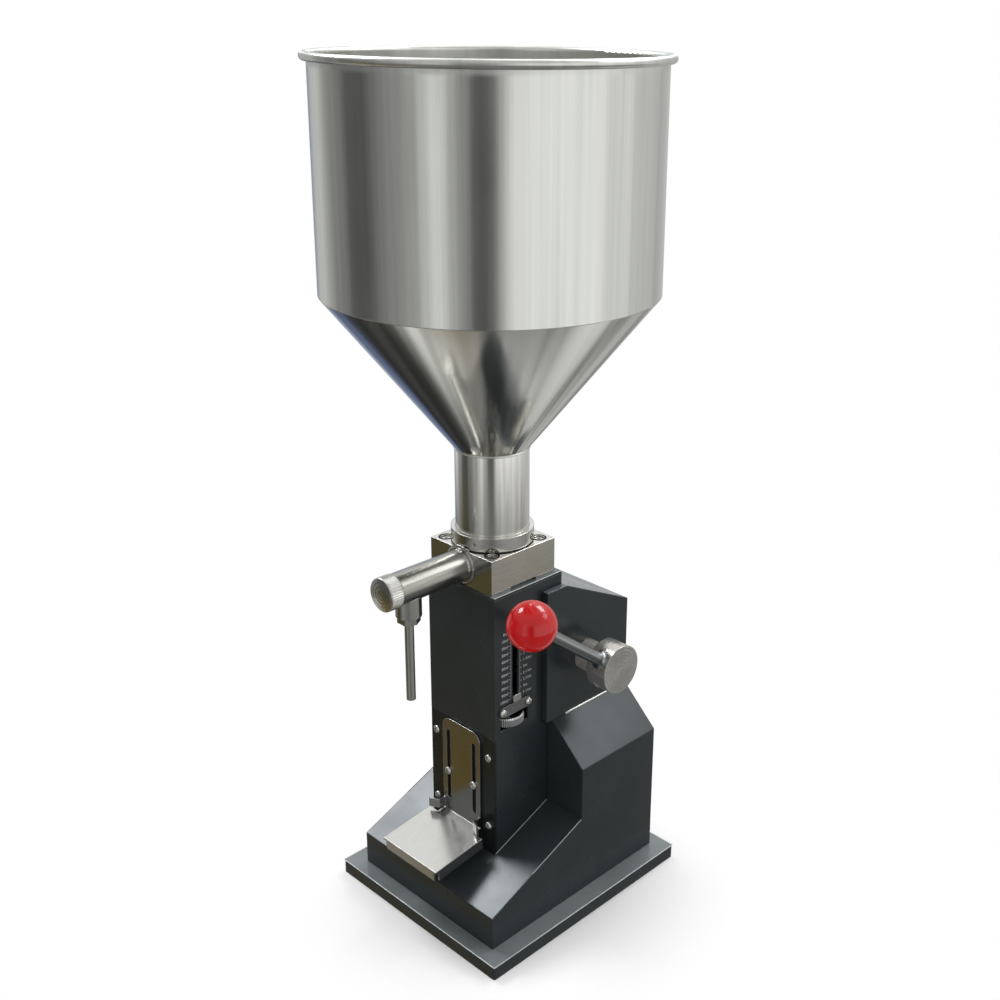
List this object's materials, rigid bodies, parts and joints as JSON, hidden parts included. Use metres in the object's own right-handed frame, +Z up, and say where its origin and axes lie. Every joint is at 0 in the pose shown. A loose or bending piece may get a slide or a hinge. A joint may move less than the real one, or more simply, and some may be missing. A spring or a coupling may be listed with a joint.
{
  "type": "manual paste filling machine",
  "caption": "Hand lever bench filler for paste: stainless hopper over a metering piston in a dark painted column, with a side lever and ball, a volume scale, a nozzle and a cup tray.",
  "frame": {"origin": "centre of the underside of the base plate", "axes": "+Z up, +X towards the lever side, -Y towards the nozzle and the operator"},
  "size_m": [0.2692, 0.2692, 0.7],
  "materials": {
    "body_paint": "semi-gloss",
    "panel_paint": "semi-gloss",
    "hopper_steel": "brushed along the height",
    "block_steel": "polished",
    "tube_steel": "polished",
    "tray_steel": "fine brushed",
    "turned_steel": "turned",
    "arm_steel": "milled",
    "screw_steel": "nickel plated",
    "ball_red": "gloss",
    "gasket_rubber": "matte",
    "piston_plastic": "matte",
    "seal_plastic": "matte",
    "bronze": "plain"
  },
  "bodies": {
    "machine": {"base_plate": "body_paint", "base_housing": "body_paint", "upper_housing": "body_paint", "rear_cover": "panel_paint", "rear_cover_screws": "screw_steel", "column": "body_paint", "column_top_plate": "body_paint", "front_panel": "panel_paint", "front_panel_screws": "screw_steel", "valve_block": "block_steel", "block_screws": "screw_steel", "valve_guide": "turned_steel", "neck_gasket": "gasket_rubber", "neck_ring": "block_steel", "hopper_neck": "hopper_steel", "hopper_cone": "hopper_steel", "hopper": "hopper_steel", "outlet_tube": "tube_steel", "nozzle_boss": "tube_steel", "outlet_seat": "turned_steel", "outlet_spring": "screw_steel", "cap_seal": "seal_plastic", "outlet_cap": "tube_steel", "nozzle_nut": "turned_steel", "nozzle_tube": "tube_steel", "metering_cylinder": "tube_steel", "bush_right": "turned_steel", "bush_left": "turned_steel", "adjuster_plate": "arm_steel", "adjuster_screws": "screw_steel", "lower_bearing": "arm_steel", "upper_bearing": "arm_steel", "tray_screws": "screw_steel"},
    "lever": {"lever_shaft": "turned_steel", "crank_arm": "arm_steel", "crank_pin": "turned_steel", "crank_roller": "bronze", "lever_hub": "turned_steel", "lever_rod": "turned_steel", "ball_knob": "ball_red"},
    "piston_carriage": {"piston": "piston_plastic", "piston_seals": "gasket_rubber", "piston_rod": "turned_steel", "rod_nut": "screw_steel", "crosshead": "arm_steel", "stop_rod": "turned_steel"},
    "adjuster": {"lead_screw": "turned_steel", "thumb_wheel": "turned_steel"},
    "stop": {"stop_nut": "turned_steel"},
    "inlet_valve_body": {"inlet_valve": "turned_steel"},
    "outlet_valve_body": {"outlet_valve": "turned_steel"},
    "tray_body": {"tray": "tray_steel"}
  },
  "joints": [
    {"name": "lever_swing", "type": "hinge", "parent": "machine", "child": "lever", "pos_m": [0, 0.0458, 0.2111], "axis": [1, 0, 0], "range_deg": [0, 52.5]},
    {"name": "piston_slide", "type": "slide", "parent": "machine", "child": "piston_carriage", "axis": [0, 0, -1], "range_m": [0, 0.0602]},
    {"name": "adjuster_turn", "type": "hinge", "parent": "machine", "child": "adjuster", "pos_m": [0.029, -0.0326, 0.178], "axis": [0, 0, -1], "range_deg": [0, 5130]},
    {"name": "stop_slide", "type": "slide", "parent": "machine", "child": "stop", "axis": [0, 0, 1], "range_m": [0, 0.057]},
    {"name": "inlet_valve_lift", "type": "slide", "parent": "machine", "child": "inlet_valve_body", "axis": [0, 0, -1], "range_m": [0, 0.004]},
    {"name": "outlet_valve_lift", "type": "slide", "parent": "machine", "child": "outlet_valve_body", "axis": [0, -1, 0], "range_m": [0, 0.006], "stiffness_N_per_m": 1000, "springref_m": -0.003, "deforming": ["outlet_spring"]},
    {"name": "tray_slide", "type": "slide", "parent": "machine", "child": "tray_body", "axis": [0, 0, 1], "range_m": [-0.009, 0.025]}
  ],
  "couplings": [
    {"joint": "piston_slide", "follows": "lever_swing", "m_per_rad": 0.06569},
    {"joint": "adjuster_turn", "follows": "stop_slide", "rad_per_m": 1570.7}
  ]
}
